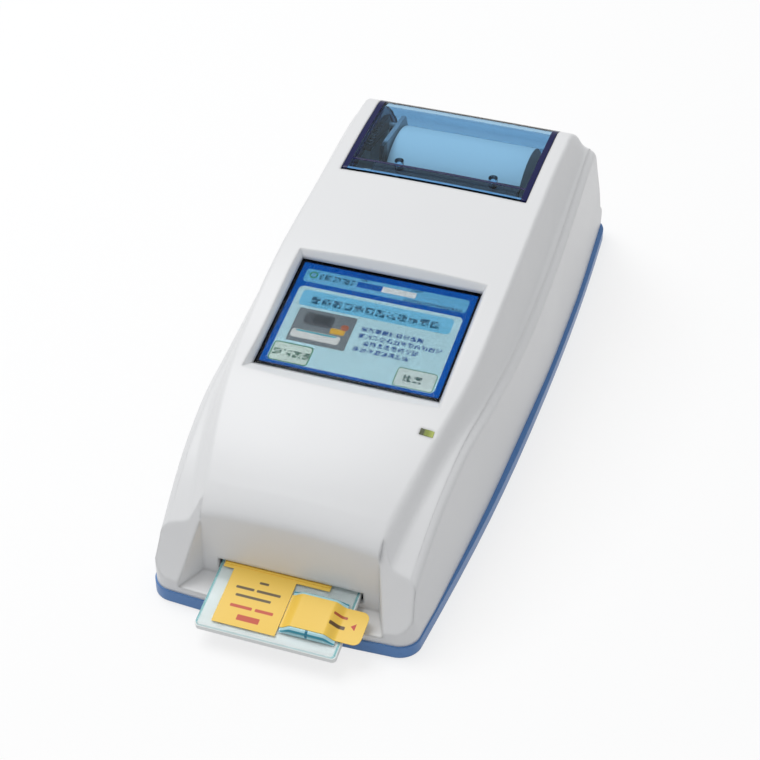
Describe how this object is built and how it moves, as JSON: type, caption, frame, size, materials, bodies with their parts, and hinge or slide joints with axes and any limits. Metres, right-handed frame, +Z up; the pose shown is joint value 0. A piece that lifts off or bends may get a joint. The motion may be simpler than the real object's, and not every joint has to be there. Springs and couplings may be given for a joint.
{
  "type": "blood gas analyzer",
  "caption": "Portable blood gas analyzer: white casing on a blue base, touch screen on the sloping top, sensor card in the front slot, receipt printer under a clear blue lid.",
  "frame": {"origin": "on the bench, under the middle of the object's overall length and width", "axes": "+X to the right seen from the front, +Y to the back, +Z up; the sensor card leaves towards -Y"},
  "size_m": [0.1148, 0.3056, 0.0867],
  "materials": {
    "casing_white": "fine satin moulding",
    "base_blue": "satin moulding",
    "smoke_blue": "clear blue moulding",
    "dark_plastic": "fine grain",
    "grey_plastic": "fine grain",
    "black_plastic": "moulded",
    "rubber": "matt",
    "steel": "ground",
    "aluminium": "milled",
    "gold": "plated",
    "board_green": "lacquered",
    "screen_glass": "clear over the picture",
    "card_white": "moulded",
    "card_aqua": "clear tinted film",
    "inlet_turquoise": "soft moulding",
    "label_yellow": "printed film",
    "paper": "thermal paper",
    "card_board": "wound board",
    "gear_white": "moulded",
    "battery_wrap": "shrink film",
    "light_lens": "clear moulding"
  },
  "bodies": {
    "housing": {"upper_casing": "casing_white", "lower_casing": "base_blue", "rubber_feet": "rubber", "casing_screws": "steel", "battery_door": "base_blue", "main_board": "board_green", "main_board_chips": "black_plastic", "board_screws": "steel", "buzzer": "black_plastic", "battery_pack": "battery_wrap", "battery_socket": "gear_white", "lcd_module": "dark_plastic", "touch_panel": "screen_glass", "display_bracket": "steel", "display_board": "board_green", "status_light_pipe": "light_lens", "status_light_board": "board_green", "status_led": "gear_white", "port_board": "board_green", "power_inlet": "black_plastic", "usb_port": "steel", "network_port": "steel", "switch_housing": "black_plastic", "card_guide": "grey_plastic", "heater_plate": "aluminium", "card_contact_block": "black_plastic", "contact_pins": "gold", "press_bracket": "grey_plastic", "press_motor": "steel", "printer_frame": "dark_plastic", "printer_motor": "steel", "head_pivot_pin": "steel", "head_springs": "steel", "tear_bar": "steel", "paper_sensor": "black_plastic", "lid_hinge_pins": "steel"},
    "card": {"card_base": "card_white", "card_cover": "card_aqua", "card_contacts": "gold", "card_label": "label_yellow", "sample_inlet": "inlet_turquoise", "peel_strip": "label_yellow"},
    "lid": {"printer_lid": "smoke_blue", "platen_holder": "dark_plastic", "holder_screws": "steel", "platen_bearings": "gear_white"},
    "platen": {"platen_roller": "rubber", "platen_shaft": "steel", "platen_gear": "gear_white"},
    "idler": {"idler_gear": "gear_white"},
    "motor_rotor": {"motor_pinion": "gold"},
    "paper": {"paper_roll": "paper", "paper_core": "card_board"},
    "head": {"print_head": "aluminium"},
    "lever": {"release_lever": "dark_plastic"},
    "press_rotor": {"press_screw": "steel"},
    "plunger": {"press_plunger": "gear_white"},
    "rocker": {"power_rocker": "black_plastic"}
  },
  "joints": [
    {"name": "card_slide", "type": "slide", "parent": "housing", "child": "card", "axis": [0, -0.977, -0.213], "range_m": [0, 0.027]},
    {"name": "lid_hinge", "type": "hinge", "parent": "housing", "child": "lid", "pos_m": [0, 0.10772, 0.06202], "axis": [-1, 0, 0], "range_deg": [0, 74]},
    {"name": "platen_spin", "type": "hinge", "parent": "lid", "child": "platen", "pos_m": [0.002, 0.05009, 0.0705], "axis": [1, 0, 0], "continuous": true},
    {"name": "paper_spin", "type": "hinge", "parent": "housing", "child": "paper", "pos_m": [0.002, 0.07859, 0.055], "axis": [1, 0, 0], "continuous": true},
    {"name": "idler_spin", "type": "hinge", "parent": "housing", "child": "idler", "pos_m": [-0.032, 0.03817, 0.06215], "axis": [1, 0, 0], "continuous": true},
    {"name": "motor_spin", "type": "hinge", "parent": "housing", "child": "motor_rotor", "pos_m": [-0.028, 0.02684, 0.05803], "axis": [1, 0, 0], "continuous": true},
    {"name": "head_rock", "type": "hinge", "parent": "housing", "child": "head", "pos_m": [0.002, 0.04229, 0.062], "axis": [1, 0, 0], "range_deg": [0, 1.5], "stiffness_Nm_per_rad": 2},
    {"name": "lever_press", "type": "hinge", "parent": "housing", "child": "lever", "pos_m": [-0.0352, 0.08759, 0.0766], "axis": [1, 0, 0], "range_deg": [0, 6], "stiffness_Nm_per_rad": 0.05},
    {"name": "press_turn", "type": "hinge", "parent": "housing", "child": "press_rotor", "pos_m": [0, -0.09668, 0.02894], "axis": [0, -0.213, 0.977], "range_deg": [0, 432]},
    {"name": "plunger_slide", "type": "slide", "parent": "housing", "child": "plunger", "axis": [0, 0.213, -0.977], "range_m": [0, 0.0012]},
    {"name": "power_switch", "type": "hinge", "parent": "housing", "child": "rocker", "pos_m": [-0.027, 0.13588, 0.02197], "axis": [1, 0, 0], "range_deg": [0, 14]}
  ],
  "couplings": [
    {"joint": "platen_spin", "follows": "paper_spin", "ratio": 4.8},
    {"joint": "idler_spin", "follows": "paper_spin", "ratio": -2.9333},
    {"joint": "motor_spin", "follows": "paper_spin", "ratio": 8.8},
    {"joint": "press_turn", "follows": "plunger_slide", "rad_per_m": 6283.2}
  ]
}
